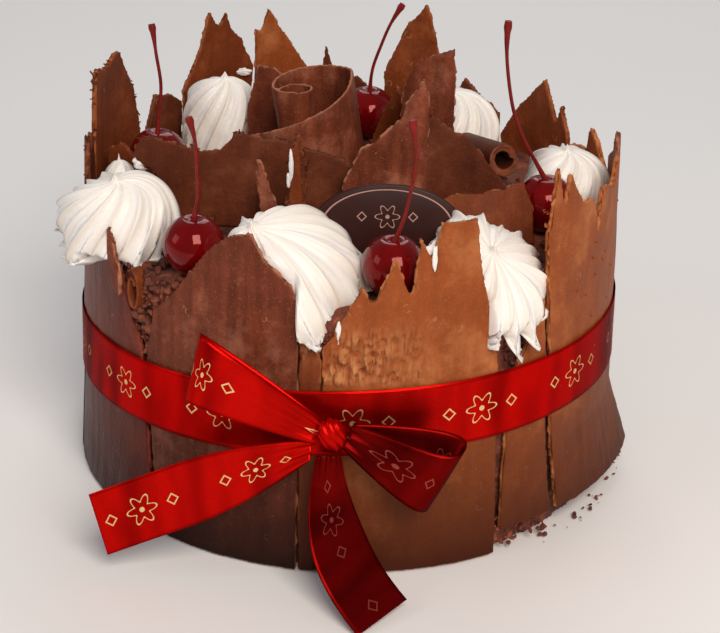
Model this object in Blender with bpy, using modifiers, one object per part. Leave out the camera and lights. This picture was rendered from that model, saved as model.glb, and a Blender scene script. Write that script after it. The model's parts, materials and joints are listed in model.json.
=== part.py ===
"""Black forest cake: broken chocolate panels round the side, piped cream, cherries and
chocolate shards on top, and a satin ribbon tied in a bow.

The frame has its origin at the centre of the cake's foot, +Z up, with the bow towards -Y.
Sizes and places below are in millimetres and degrees, and become metres where a mesh or a
curve is made. An azimuth is measured from +X towards +Y, so the bow lies near -90 degrees.
"""

import math
import random

import bmesh
import bpy
from mathutils import Vector

MM = 0.001
GAP = 0.3

# Driving dimensions
CAKE_HEIGHT = 100.0
PANEL_RADIUS = 105.8
PANEL_THICKNESS = 2.2
PANEL_FLARE = (2.2, 2.2)
FLARE_HEIGHT = 36.0
PANEL_LEAN = 0.035
SHARD_THICKNESS = 2.0
RIBBON_WIDTH = 25.0
RIBBON_THICKNESS = 0.7
CHERRY_RADIUS = 11.2
STEM_RADIUS = 0.65

TOP = CAKE_HEIGHT + GAP
CORE_RADIUS = PANEL_RADIUS - PANEL_THICKNESS - 2 * GAP

# Colour (linear), roughness and metallic value of each material
MATERIALS = {
    "crumb": ((0.030, 0.010, 0.006), 0.95, 0.0),
    "milk_chocolate": ((0.270, 0.110, 0.050), 0.50, 0.0),
    "dark_chocolate": ((0.105, 0.036, 0.020), 0.38, 0.0),
    "plaque_chocolate": ((0.040, 0.013, 0.009), 0.35, 0.0),
    "cream": ((0.860, 0.780, 0.700), 0.55, 0.0),
    "cherry": ((0.160, 0.004, 0.004), 0.12, 0.0),
    "stem": ((0.090, 0.012, 0.010), 0.50, 0.0),
    "satin": ((0.520, 0.012, 0.010), 0.35, 0.0),
}

# Side panels: material, azimuths and height of the foot, and the broken top edge as
# (azimuth, height) at its peaks and notches
PANELS = {
    "panel_front": ("milk_chocolate", (-96.3, -59.9), 0.0, [
        (-96.2, 88), (-92.8, 97), (-90.6, 106), (-88.9, 112), (-86.6, 106), (-82.4, 122), (-79.1, 107),
        (-77.7, 129), (-75.2, 121), (-73.4, 134), (-66.2, 134), (-64.6, 113), (-61.5, 88), (-60.2, 76)]),
    "panel_front_sliver": ("milk_chocolate", (-99.6, -96.9), 0.0, [(-100.0, 97), (-96.8, 91)]),
    "panel_front_left": ("dark_chocolate", (-131.9, -100.2), 0.0, [
        (-135.4, 68), (-133.5, 90), (-126.5, 103), (-119.3, 120), (-115.0, 126), (-110.5, 128),
        (-107.6, 119), (-102.2, 111), (-100.6, 103)]),
    "panel_left": ("dark_chocolate", (-170.0, -132.7), 0.0, [
        (-171.0, 86), (-161.0, 90), (-154.6, 99), (-146.9, 102), (-141.5, 88), (-136.9, 71)]),
    "panel_left_rear": ("dark_chocolate", (174.4, 189.4), 0.0, [
        (174.0, 112), (177.0, 128), (180.5, 122), (184.0, 131), (188.6, 104)]),
    "panel_rear_left_tall": ("dark_chocolate", (147.4, 173.8), 0.0, [
        (147.2, 99), (151.5, 131), (158.0, 150), (160.0, 150), (164.5, 146), (171.5, 148), (173.4, 119)]),
    "panel_rear_left": ("milk_chocolate", (134.6, 146.8), 0.0, [
        (134.4, 118), (138.0, 122), (143.0, 124), (146.6, 108)]),
    "panel_rear_peak": ("dark_chocolate", (114.6, 134.0), 0.0, [
        (114.4, 128), (117.5, 141), (119.8, 144), (121.5, 153), (123.5, 147), (126.3, 154), (129.0, 138),
        (133.8, 122)]),
    "panel_rear_blade": ("milk_chocolate", (97.6, 114.0), 0.0, [
        (97.6, 118), (104.0, 135), (110.5, 153), (112.4, 142), (113.8, 144)]),
    "panel_rear": ("dark_chocolate", (81.6, 97.0), 0.0, [
        (82.0, 112), (88.0, 121), (92.0, 116), (95.8, 135), (97.0, 120)]),
    "panel_rear_spike": ("milk_chocolate", (63.6, 81.0), 0.0, [
        (64.0, 121), (67.5, 134), (69.4, 148), (71.0, 155), (76.5, 144), (81.4, 122)]),
    "panel_rear_low": ("dark_chocolate", (50.6, 63.0), 0.0, [
        (50.4, 112), (56.0, 118), (60.5, 125), (63.4, 116)]),
    "panel_rear_right": ("dark_chocolate", (27.6, 50.0), 0.0, [
        (27.4, 113), (30.4, 126), (32.0, 117), (36.8, 134), (41.0, 126), (45.5, 117), (49.8, 104)]),
    "panel_right_rear": ("milk_chocolate", (4.6, 27.0), 0.0, [
        (4.4, 108), (10.0, 114), (16.8, 124), (19.0, 113), (26.8, 111)]),
    "panel_right_sliver": ("milk_chocolate", (-6.4, 4.0), 0.0, [
        (-6.8, 132), (-5.6, 137), (-2.0, 126), (3.8, 121)]),
    "panel_right": ("milk_chocolate", (-44.0, -9.4), 8.5, [
        (-49.3, 133), (-48.4, 118), (-46.4, 146), (-43.6, 128), (-42.2, 141), (-37.0, 127), (-32.0, 127),
        (-29.5, 110), (-27.4, 128), (-20.0, 124), (-13.0, 130), (-7.6, 127)]),
    "panel_front_right": ("milk_chocolate", (-59.4, -45.8), 9.0, [
        (-57.0, 72), (-53.8, 80), (-51.4, 93), (-48.8, 98)]),
}
PANEL_FOOT_FLARE = {"panel_right": (4.5, 12.0), "panel_front_right": (3.5, 4.5)}

# Cream swirls: azimuth and distance of the centre, width, height and shift of the tip.
# A low `shoulder` makes a dome, and a high one a flat rosette.
# A swirl that spills hangs down over the rim, within a window of azimuths round `spill`,
# and `clear_of` names the pieces that press into it.
SWIRLS = {
    "swirl_left": dict(at=(-158.8, 94.8), width=44, height=31, tip=(2, -9), spill=-164, window=16, hang=6,
                       clear_of=("cake_core", "panel_left", "cherry_left", "splinter_outside")),
    "swirl_front_left": dict(at=(-104.8, 80), width=47, height=28, tip=(-10, 7), spill=-97, window=6.5,
                             hang=17, clear_of=("cake_core", "panel_front_left", "panel_front_sliver",
                                                "panel_front", "plaque", "cherry_front")),
    "swirl_front_right": dict(at=(-54, 86), width=48, height=25, tip=(2, -7), shoulder=3.4, spill=-54.5,
                              window=8, hang=21, clear_of=("cake_core", "panel_front", "panel_front_right",
                                                 "panel_right", "plaque")),
    "swirl_right": dict(at=(4, 84), width=38, height=28, tip=(-2, 0),
                        clear_of=("cherry_right", "panel_right_sliver")),
    "swirl_rear_right": dict(at=(60, 77), width=47, height=28, tip=(0, -4),
                             clear_of=("cherry_rear", "panel_rear_low")),
    "swirl_rear_left": dict(at=(131, 82), width=38, height=33, tip=(0, 0)),
    "swirl_far_left": dict(at=(180, 90), width=15, height=27, tip=(0, 0)),
}
SWIRL_RIDGES = 14
SWIRL_RINGS = 8

# Cherries: azimuth and distance, then the stem's bend and tip, relative to the cherry
CHERRIES = {
    "left": dict(at=(-130.0, 88.5), tip=(-1, 0, 38), bend=(2.5, 0)),
    "front": dict(at=(-81.0, 85), tip=(5, 0, 44), bend=(3.5, 0)),
    "right": dict(at=(-17.3, 76.5), tip=(-18, 0, 61), bend=(-6, 0)),
    "rear": dict(at=(83.8, 79.6), tip=(13, 0, 38), bend=(-3, 0)),
    "rear_left": dict(at=(164.0, 80.0), tip=(-2, 8, 42), bend=(2, 0)),
}

# Shards standing on top: material, foot (x, y, height), facing azimuth, backward lean,
# bend radius (0 is flat), and the outline as (across, lower edge, upper edge)
SHARDS = {
    "shard_long": ("dark_chocolate", (-50, -25, TOP), -98, 8, 90, [
        (-35, 22, 27), (-32, 20, 31), (-27, 18, 32), (-18, 2, 31), (-8, 0, 29), (0, 0, 30), (5, 0, 37),
        (15, 0, 35), (28, 0, 33), (32, 6, 26)]),
    "shard_blade": ("milk_chocolate", (15, -32, TOP), -82, 6, 60, [
        (-19, 6, 19), (-12, 2, 34), (-8, 0, 36), (-3, 0, 40), (3, 0, 46), (5, 0, 51), (12, 0, 60),
        (14, 4, 55)]),
    "shard_triangle": ("dark_chocolate", (38, -22, TOP), -80, 8, 0, [
        (-14, 4, 26), (-13, 1, 36), (-8, 0, 45), (-3, 0, 40), (6, 0, 35), (21, 0, 16), (24, 4, 10)]),
    "shard_curved": ("dark_chocolate", (30, 14, TOP), -100, 5, 40, [
        (-12, 0, 36), (-10, 0, 46), (-5, 0, 54), (3, 0, 57), (9, 0, 59), (10, 6, 46)]),
    "shard_plank": ("milk_chocolate", (57, -43, TOP), -80, 25, 60, [
        (-24, 11, 18), (-16, 9, 21), (-9, 3, 21), (0, 0, 22), (4, 0, 24), (9, 0, 25), (12, 0, 15)]),
    "shard_dark_middle": ("dark_chocolate", (0, -23, TOP), -95, 10, 0, [
        (-20, 6, 30), (-14, 0, 29), (-3, 0, 25), (4, 3, 19)]),
    "shard_splinter_left": ("dark_chocolate", (-29, -40, TOP), -90, 8, 0, [
        (-7, 20, 32), (-5, 12, 31), (0, 3, 18), (3, 0, 9)]),
    "shard_splinter_right": ("milk_chocolate", (-18, -42, TOP), -80, 0, 0, [
        (-6, 6, 36), (-2, 0, 45), (0, 0, 19)]),
    "shard_chip": ("milk_chocolate", (-14, -36, TOP), -80, 20, 0, [
        (-10, 6, 17), (-5, 0, 16), (2, 0, 8)]),
    "shard_left": ("dark_chocolate", (-80, 8, TOP), -110, 5, 0, [
        (-18, 6, 16), (-11, 0, 20), (-6, 0, 15), (2, 0, 12)]),
    "shard_rear_left": ("dark_chocolate", (-30, 40, TOP), -80, 5, 70, [
        (-12, 0, 26), (-7, 0, 43), (-1, 0, 42), (8, 0, 36), (13, 0, 18)]),
    "shard_rear_right": ("milk_chocolate", (26, 40, TOP), 60, 10, 60, [
        (-18, 0, 12), (-10, 0, 30), (-4, 0, 27), (5, 0, 38), (14, 0, 20), (18, 2, 9)]),
    "splinter_outside": ("milk_chocolate", (-87, -63, 89.5), -141, 2, 0, [
        (-4, 14, 26), (0, 2, 20), (4, 0, 8)]),
}

# Curls: a sheet rolled up in half turns of growing radius, from the inner end outwards.
# `axis` points from foot to mouth, and `mouth` is the sheet's length at each half turn.
CURLS = {
    "curl_cone": dict(slot="milk_chocolate", foot=(-15, 9, TOP), axis=(-0.16, 0, 1),
                      half_turns=(5.8, 6.8, 15, 22), mouth=(44, 45, 46, 52, 25)),
    "curl_small": dict(slot="dark_chocolate", foot=(47, 27, 115.5), axis=(0.28, -0.93, 0.22),
                       half_turns=(4.2, 5.1, 6.0, 6.9), mouth=(40, 40, 40, 42, 38)),
}
CURL_THICKNESS = 1.2

PLAQUE_SIZE = (54.0, 30.5, 2.4)
PLAQUE_FOOT = (12.0, -60.0, TOP)
PLAQUE_LEAN = 14.0

# Ribbon: the knot, the loops' reach and width direction, and the tails' routes
KNOT = Vector((-7.0, -112.2, 60.0))
KNOT_SIZE = Vector((5.6, 4.4, 7.2))
LOOPS = {
    "bow_loop_left": dict(start=(-7, 0, 2), reach=(-41, 3, 22), across=(0.22, 0.10, 0.97),
                          depth=3.6, rise=0.5),
    "bow_loop_right": dict(start=(7, -1, 0), reach=(33, -6, -12.5), across=(0.47, 0.08, 0.88),
                           depth=3.8, rise=3.5),
}
TAILS = {
    "bow_tail_left": dict(route=[(-14.2, -112.8, 54), (-50, -114, 40), (-89.5, -109, 20.5)],
                          across=[(0.05, 0, 0.36), (-0.24, 0.05, 0.97)]),
    "bow_tail_front": dict(route=[(-8.2, -112.6, 51.5), (-11, -116, 18), (11.2, -138.5, 2.6)],
                           across=[(0.36, 0, 0.02), (0.70, 0.70, 0.13)]),
}


def clear_scene():
    for obj in list(bpy.data.objects):
        bpy.data.objects.remove(obj, do_unlink=True)


def new_collection(name):
    collection = bpy.data.collections.new(name)
    bpy.context.scene.collection.children.link(collection)
    return collection


def make_material(slot):
    colour, roughness, metallic = MATERIALS[slot]
    material = bpy.data.materials.new(slot)
    material.use_nodes = True
    shader = material.node_tree.nodes["Principled BSDF"]
    shader.inputs["Base Color"].default_value = (*colour, 1.0)
    shader.inputs["Roughness"].default_value = roughness
    shader.inputs["Metallic"].default_value = metallic
    return material


def add_object(name, data, slot):
    obj = bpy.data.objects.new(name, data)
    obj.data.materials.append(make_material(slot))
    cake.objects.link(obj)
    return obj


def add_mesh(name, bm, slot, smooth=True):
    mesh = bpy.data.meshes.new(name)
    bm.to_mesh(mesh)
    bm.free()
    if smooth:
        mesh.shade_smooth()
        mesh.set_sharp_from_angle(angle=math.radians(35))
    return add_object(name, mesh, slot)


def polar(azimuth, radius, height):
    """Point in millimetres from an azimuth in degrees, a radius and a height."""
    angle = math.radians(azimuth)
    return Vector((radius * math.cos(angle), radius * math.sin(angle), height))


def sheet_grid(columns, rows, place):
    """Open surface whose vertex (column, row) lies at place(column, row), in millimetres."""
    bm = bmesh.new()
    bmesh.ops.create_grid(bm, x_segments=columns, y_segments=rows, size=1.0)
    for vert in bm.verts:
        column = round((vert.co.x + 1) / 2 * columns)
        row = round((vert.co.y + 1) / 2 * rows)
        vert.co = place(column, row) * MM
    return bm


def thicken(obj, thickness, offset=-1.0):
    """Solidify inwards from the outer face."""
    solid = obj.modifiers.new("thickness", "SOLIDIFY")
    solid.thickness = thickness * MM
    solid.offset = offset
    solid.use_even_offset = True


def carve(target, neighbours):
    """Press neighbours into a soft piece, leaving a gap around each."""
    for neighbour in neighbours:
        cutter = neighbour.copy()
        cutter.name = f"{target.name}_clear_of_{neighbour.name}"
        cutter.hide_render = True
        cutter.display_type = "WIRE"
        cutters.objects.link(cutter)
        grow = cutter.modifiers.new("clearance", "DISPLACE")
        grow.strength = 1.6 * GAP * MM
        grow.mid_level = 0.0
        cut = target.modifiers.new(f"clear_of_{neighbour.name}", "BOOLEAN")
        cut.object = cutter


def snapped_edge(points, step, jag, seed):
    """Points of a broken edge, with small seeded teeth between the named ones."""
    teeth = random.Random(seed)
    edge = []
    for start, end in zip(points, points[1:]):
        parts = max(1, round(abs(end[0] - start[0]) / step))
        for part in range(parts):
            share = part / parts
            mix = [a + (b - a) * share for a, b in zip(start, end)]
            if part:
                mix[-1] += teeth.uniform(-jag, jag)
            edge.append(mix)
    edge.append(list(points[-1]))
    return edge


def panel_radius(height, flare=0.0):
    """Outer radius of the side panels: flared at the foot, leaning in towards the top."""
    if height < FLARE_HEIGHT:
        return PANEL_RADIUS + flare * (1 - height / FLARE_HEIGHT)
    return PANEL_RADIUS - PANEL_LEAN * (height - FLARE_HEIGHT)


def build_core():
    """The cake itself, a turned body that narrows a little towards its rounded top."""
    rounding = 3.0
    corner = CORE_RADIUS - PANEL_LEAN * (CAKE_HEIGHT - FLARE_HEIGHT) - rounding
    profile = [(0, CAKE_HEIGHT)]
    for degrees in (0, 45, 90):
        angle = math.radians(degrees)
        profile.append((corner + rounding * math.sin(angle), CAKE_HEIGHT - rounding * (1 - math.cos(angle))))
    profile += [(CORE_RADIUS, FLARE_HEIGHT), (CORE_RADIUS, 0), (0, 0)]
    bm = bmesh.new()
    verts = [bm.verts.new((radius * MM, 0, height * MM)) for radius, height in profile]
    for start, end in zip(verts, verts[1:]):
        bm.edges.new((start, end))
    core = add_mesh("cake_core", bm, "crumb", smooth=False)
    turn = core.modifiers.new("turn", "SCREW")
    turn.steps = turn.render_steps = 40
    turn.use_merge_vertices = True
    turn.merge_threshold = 0.00001
    turn.use_smooth_shade = True
    return core


def build_panel(name, slot, foot, foot_height, peaks):
    """A curved plate between two azimuths, standing on its foot, with a snapped top edge."""
    flares = PANEL_FOOT_FLARE.get(name, PANEL_FLARE)
    edge = snapped_edge(peaks, step=3.6, jag=1.0, seed=name)
    first, last = edge[0][0], edge[-1][0]

    def place(column, row):
        azimuth, top = edge[column]
        share = (azimuth - first) / (last - first)
        foot_azimuth = foot[0] + (foot[1] - foot[0]) * share
        height = (foot_height + GAP, FLARE_HEIGHT, top)[row]
        climb = (height - foot_height) / (top - foot_height)
        flare = flares[0] + (flares[1] - flares[0]) * share
        return polar(foot_azimuth + (azimuth - foot_azimuth) * climb, panel_radius(height, flare), height)

    panel = add_mesh(name, sheet_grid(len(edge) - 1, 2, place), slot)
    thicken(panel, PANEL_THICKNESS)
    return panel


def build_swirl(name, at, width, height, tip, shoulder=2.2, spill=0, window=0, hang=0, clear_of=()):
    """Star-piped cream: a ridged, twisted dollop that can spill over the cake's edge."""
    centre = polar(*at, TOP)
    rim = panel_radius(CAKE_HEIGHT) - PANEL_THICKNESS - 2 * GAP
    ridge_depth = 0.11
    twist = 1.0
    segments = 2 * SWIRL_RIDGES
    bm = bmesh.new()
    bmesh.ops.create_uvsphere(bm, u_segments=segments, v_segments=SWIRL_RINGS, radius=1.0)
    for vert in bm.verts:
        ring = round(math.acos(max(-1.0, min(1.0, vert.co.z))) / math.pi * SWIRL_RINGS)
        fall = min(1.0, ring / (SWIRL_RINGS - 1))
        angle = math.atan2(vert.co.y, vert.co.x)
        crest = 1 if round(angle / math.tau * segments) % 2 else -1
        ridge = 1 + crest * ridge_depth * fall ** 0.5
        radius = width / 2 * math.sin(math.pi / 2 * fall) ** 1.1 * ridge if ring < SWIRL_RINGS else 0.0
        turned = angle - twist * (1 - fall)
        point = centre + Vector((radius * math.cos(turned), radius * math.sin(turned), 0))
        point += Vector((*tip, 0)) * (1 - fall)
        point.z += height * (1 - fall ** shoulder)
        reach = math.hypot(point.x, point.y)
        if reach > rim:
            aside = abs(math.degrees(math.atan2(point.y, point.x)) - spill) / window if window else 1.0
            held = min(1.0, aside ** 2)
            point.z -= hang * (1 - held) * min(1.0, (reach - rim) / 5) * fall
            reach = rim + (reach - rim) * (1 - held)
            point.xy = point.xy.normalized() * reach
        vert.co = point * MM
    swirl = add_mesh(name, bm, "cream")
    carve(swirl, [cake.objects[neighbour] for neighbour in clear_of])
    return swirl


def build_cherry(name, at):
    """A cocktail cherry with a dimple for its stem."""
    dimple = 3.0
    centre = polar(*at, TOP + CHERRY_RADIUS)
    bm = bmesh.new()
    bmesh.ops.create_uvsphere(bm, u_segments=14, v_segments=9, radius=CHERRY_RADIUS)
    for vert in bm.verts:
        vert.co.z -= dimple * max(0.0, vert.co.z / CHERRY_RADIUS) ** 8
        vert.co = (vert.co + centre) * MM
    add_mesh(name, bm, "cherry")
    return centre + Vector((0, 0, CHERRY_RADIUS - dimple + 2 * GAP))


def build_stem(name, foot, tip, bend):
    """A thin stem that swells at its foot and ends in a knob."""
    swell = (1.5, 1.1, 1.0, 1.0, 1.0, 1.4, 2.4)
    end = foot + Vector(tip)
    curve = bpy.data.curves.new(name, "CURVE")
    curve.dimensions = "3D"
    curve.bevel_depth = STEM_RADIUS * MM
    curve.bevel_resolution = 1
    curve.use_fill_caps = True
    spline = curve.splines.new("POLY")
    spline.points.add(len(swell) - 1)
    for index, point in enumerate(spline.points):
        share = index / (len(swell) - 1)
        place = foot.lerp(end, share) + Vector((*bend, 0)) * math.sin(math.pi * share)
        point.co = (*(place * MM), 1.0)
        point.radius = swell[index]
    return add_object(name, curve, "stem")


def local_frame(foot, facing, lean):
    """Origin and axes of an upright sheet: across, up its face, and out of its face."""
    slope = math.radians(lean)
    flat = polar(facing, 1, 0)
    out = flat * math.cos(slope) + Vector((0, 0, math.sin(slope)))
    across = Vector((-flat.y, flat.x, 0))
    return Vector(foot), across, out.cross(across), out


def build_shard(name, slot, foot, facing, lean, bend, outline):
    """A snapped piece of chocolate sheet, flat or bent back at both sides."""
    origin, across, up, out = local_frame(foot, facing, lean)
    origin.z += SHARD_THICKNESS * out.z
    edge = snapped_edge(outline, step=6.0, jag=0.8, seed=name)

    def place(column, row):
        u, low, high = edge[column]
        depth = u * u / (2 * bend) if bend else 0.0
        return origin + across * u + up * (high if row else low) - polar(facing, depth, 0)

    shard = add_mesh(name, sheet_grid(len(edge) - 1, 1, place), slot)
    thicken(shard, SHARD_THICKNESS)
    return shard


def build_curl(name, slot, foot, axis, half_turns, mouth):
    """A sheet of chocolate rolled up in half turns, whose mouth may slant."""
    steps = 7
    axis = Vector(axis)
    upright = abs(axis.z) > 0.9
    across = Vector((1, 0, 0)) if upright else axis.cross(Vector((0, 0, 1))).normalized()
    deep = Vector((0, 1, 0)) if upright else across.cross(axis).normalized()

    def place(column, row):
        turn = min(column // steps, len(half_turns) - 1)
        share = column / steps - turn
        centre = sum(radius * (-1) ** index for index, radius in enumerate(half_turns[:turn])) * 2
        centre += half_turns[turn] * (-1) ** turn
        angle = math.pi * (turn + 1 - share)
        length = mouth[turn] + (mouth[turn + 1] - mouth[turn]) * share
        radius = half_turns[turn]
        return (Vector(foot) + across * (centre - middle + radius * math.cos(angle))
                + deep * radius * math.sin(angle) + axis * length * row / 2)

    span = sum(radius * (-1) ** index for index, radius in enumerate(half_turns[:-1])) * 2
    middle = span + half_turns[-1] * (-1) ** (len(half_turns) - 1)
    curl = add_mesh(name, sheet_grid(steps * len(half_turns), 2, place), slot)
    thicken(curl, CURL_THICKNESS)
    return curl


def build_plaque():
    """Oval plate of dark chocolate, leaning back on the shards."""
    width, tall, thick = PLAQUE_SIZE
    origin, across, up, out = local_frame(PLAQUE_FOOT, -90, PLAQUE_LEAN)
    bm = bmesh.new()
    bmesh.ops.create_cone(bm, cap_ends=True, segments=28, radius1=0.5, radius2=0.5, depth=thick)
    for vert in bm.verts:
        vert.co = (origin + across * vert.co.x * width + up * (vert.co.y + 0.5) * tall + out * vert.co.z) * MM
    return add_mesh("plaque", bm, "plaque_chocolate")


def build_band():
    """The ribbon round the cake; its lower edge slopes a little."""
    segments = 60

    def place(column, row):
        azimuth = 360 / segments * (column % segments)
        angle = math.radians(azimuth)
        height = 43.2 + 4.4 * math.cos(angle) - 5.1 * math.sin(angle) + RIBBON_WIDTH * row
        return polar(azimuth, panel_radius(height) + 1.5 * GAP, height)

    bm = sheet_grid(segments, 1, place)
    bmesh.ops.remove_doubles(bm, verts=bm.verts, dist=0.00001)
    band = add_mesh("ribbon_band", bm, "satin")
    thicken(band, RIBBON_THICKNESS, offset=1.0)
    return band


def build_knot():
    bm = bmesh.new()
    bmesh.ops.create_uvsphere(bm, u_segments=12, v_segments=8, radius=1.0)
    for vert in bm.verts:
        vert.co = (KNOT + vert.co * KNOT_SIZE) * MM
    return add_mesh("ribbon_knot", bm, "satin")


def build_strip(name, columns, middle, half_width):
    """Ribbon strip: middle(share) is its centre line, half_width(share) points to its edge."""
    def place(column, row):
        share = column / columns
        return middle(share) + half_width(share) * (2 * row - 1)

    strip = add_mesh(name, sheet_grid(columns, 1, place), "satin")
    thicken(strip, RIBBON_THICKNESS, offset=0.0)
    return strip


def build_loop(name, start, reach, across, depth, rise):
    """A bow loop that leaves the knot, folds at its reach and comes back lower in front."""
    start = KNOT + Vector(start)
    reach = Vector(reach)
    across = Vector(across)
    out = reach.cross(across).normalized()
    if out.y > 0:
        out = -out
    slit = 1.0

    def middle(share):
        lift = depth * math.sin(math.tau * share) + slit * math.cos(math.pi * share)
        drift = across * rise * math.sin(math.tau * share)
        return start + reach * math.sin(math.pi * share) - out * lift + drift

    def half_width(share):
        pinch = 0.36 + 0.64 * math.sin(math.pi * share) ** 0.8
        return across * pinch * RIBBON_WIDTH / 2

    return build_strip(name, 18, middle, half_width)


def build_tail(name, route, across):
    """A tail along a smooth bend through the middle of its route, gathered at the knot."""
    start, control, end = [Vector(point) for point in route]
    gathered, full = [Vector(edge) for edge in across]

    def middle(share):
        return start.lerp(control, share).lerp(control.lerp(end, share), share)

    def half_width(share):
        return gathered.lerp(full, math.sin(math.pi / 2 * min(1.0, 1.6 * share))) * RIBBON_WIDTH / 2

    return build_strip(name, 10, middle, half_width)


clear_scene()
cake = new_collection("black_forest_cake")
cutters = new_collection("cutters")

build_core()
for name, sizes in PANELS.items():
    build_panel(name, *sizes)
for name, sizes in SHARDS.items():
    build_shard(name, *sizes)
for name, sizes in CURLS.items():
    build_curl(name, **sizes)
build_plaque()
for place, sizes in CHERRIES.items():
    dimple = build_cherry(f"cherry_{place}", sizes["at"])
    build_stem(f"stem_{place}", dimple, sizes["tip"], sizes["bend"])
for name, sizes in SWIRLS.items():
    build_swirl(name, **sizes)
build_band()
build_knot()
for name, sizes in LOOPS.items():
    build_loop(name, **sizes)
for name, sizes in TAILS.items():
    build_tail(name, **sizes)
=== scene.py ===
"""Black forest cake, dressed: sponge clad in broken chocolate panels, piped cream, glazed
cherries, chocolate shards and curls, a chocolate plaque, and a satin ribbon with its bow.

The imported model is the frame, and each visible piece stands for one of its nodes. The cake
stands on z = 0 with the bow towards -Y. Sizes are in millimetres, and azimuths in degrees
from +X towards +Y.
"""

import json
import math
import random

import bpy
import numpy as np
from mathutils import Matrix, Vector, noise

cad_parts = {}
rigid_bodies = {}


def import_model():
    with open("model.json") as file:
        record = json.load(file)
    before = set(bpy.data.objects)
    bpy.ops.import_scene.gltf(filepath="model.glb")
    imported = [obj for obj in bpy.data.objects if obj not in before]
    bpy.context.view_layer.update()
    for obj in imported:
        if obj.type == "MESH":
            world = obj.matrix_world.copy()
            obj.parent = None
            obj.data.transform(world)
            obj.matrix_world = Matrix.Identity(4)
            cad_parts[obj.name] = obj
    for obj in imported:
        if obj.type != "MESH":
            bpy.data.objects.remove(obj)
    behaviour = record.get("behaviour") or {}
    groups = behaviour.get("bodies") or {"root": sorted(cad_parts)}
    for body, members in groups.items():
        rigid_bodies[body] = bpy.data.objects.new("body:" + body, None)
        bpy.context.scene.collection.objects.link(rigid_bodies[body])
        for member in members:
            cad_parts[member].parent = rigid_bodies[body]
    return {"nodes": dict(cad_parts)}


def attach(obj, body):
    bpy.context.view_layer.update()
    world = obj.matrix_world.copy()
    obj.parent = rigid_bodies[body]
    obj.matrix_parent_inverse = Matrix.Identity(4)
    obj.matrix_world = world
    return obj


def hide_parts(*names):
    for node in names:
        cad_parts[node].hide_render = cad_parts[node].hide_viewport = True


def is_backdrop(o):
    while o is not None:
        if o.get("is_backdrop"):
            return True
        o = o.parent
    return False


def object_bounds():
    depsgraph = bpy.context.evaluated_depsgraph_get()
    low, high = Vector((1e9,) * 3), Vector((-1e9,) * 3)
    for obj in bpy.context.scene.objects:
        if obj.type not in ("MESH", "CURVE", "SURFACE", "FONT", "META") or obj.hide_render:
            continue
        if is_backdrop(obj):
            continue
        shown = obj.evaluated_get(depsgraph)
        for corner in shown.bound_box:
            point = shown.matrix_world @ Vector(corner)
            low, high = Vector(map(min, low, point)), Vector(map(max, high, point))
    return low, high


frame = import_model()
cad_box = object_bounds()
MM = 0.001


# Studio. A pale floor under a soft overcast room: one large window-like light in front,
# a weaker one from the left, and a long-lens camera a little above the cake.

def linear(colour):
    """An sRGB hex colour as linear RGBA."""
    channels = [int(colour[start:start + 2], 16) / 255 for start in (1, 3, 5)]
    curve = [c / 12.92 if c <= 0.04045 else ((c + 0.055) / 1.055) ** 2.4 for c in channels]
    return (*curve, 1.0)


def add_node(tree, kind, settings=(), **links):
    """Adds a node. Settings go to its properties or inputs, and links to its inputs by name."""
    node = tree.nodes.new(kind)
    for key, value in dict(settings).items():
        if isinstance(key, str) and hasattr(node, key):
            setattr(node, key, value)
        else:
            node.inputs[key].default_value = value
    for key, output in links.items():
        tree.links.new(output, node.inputs[int(key[1:]) if key[1:].isdigit() else key.replace("_", " ")])
    return node


def new_material(name):
    """A material holding one Principled shader, and its tree and shader."""
    material = bpy.data.materials.new(name)
    material.use_nodes = True
    return material, material.node_tree, material.node_tree.nodes["Principled BSDF"]


CAMERA_PLACE = Vector((-14.6, -659.6, 365.8)) * MM
CAMERA_YAW, CAMERA_PITCH, CAMERA_ROLL = 1.679, 25.432, 1.502
CAMERA_LENS = 90.56

camera_data = bpy.data.cameras.new("studio_camera")
camera_data.lens = CAMERA_LENS
camera_data.sensor_width = 36.0
camera_data.clip_start = 0.05
camera = bpy.data.objects.new("studio_camera", camera_data)
camera.location = CAMERA_PLACE
camera.rotation_euler = (
    Matrix.Rotation(math.radians(-CAMERA_YAW), 4, "Z")
    @ Matrix.Rotation(math.radians(90 - CAMERA_PITCH), 4, "X")
    @ Matrix.Rotation(math.radians(CAMERA_ROLL), 4, "Z")
).to_euler()
bpy.context.scene.collection.objects.link(camera)
bpy.context.scene.camera = camera

LIGHTS = {
    "window_light": ((0.30, -1.20, 1.10), 0.75, 19.0, "#fff3e8"),
    "left_light": ((-1.25, -0.45, 0.75), 0.6, 2.2, "#eef2ff"),
    "rear_light": ((0.15, 1.15, 1.15), 0.9, 5.0, "#ffffff"),
}
for light_name, (place, size, power, colour) in LIGHTS.items():
    light_data = bpy.data.lights.new(light_name, "AREA")
    light_data.shape = "SQUARE"
    light_data.size = size
    light_data.energy = power
    light_data.color = linear(colour)[:3]
    light = bpy.data.objects.new(light_name, light_data)
    light.location = place
    light.rotation_euler = (Vector((0, 0, 0.08)) - light.location).to_track_quat("-Z", "Y").to_euler()
    bpy.context.scene.collection.objects.link(light)

world = bpy.data.worlds.new("studio")
bpy.context.scene.world = world
world.use_nodes = True
world.node_tree.nodes["Background"].inputs["Color"].default_value = linear("#f3f5fa")
world.node_tree.nodes["Background"].inputs["Strength"].default_value = 0.27
bpy.context.scene.view_settings.view_transform = "Standard"

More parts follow.
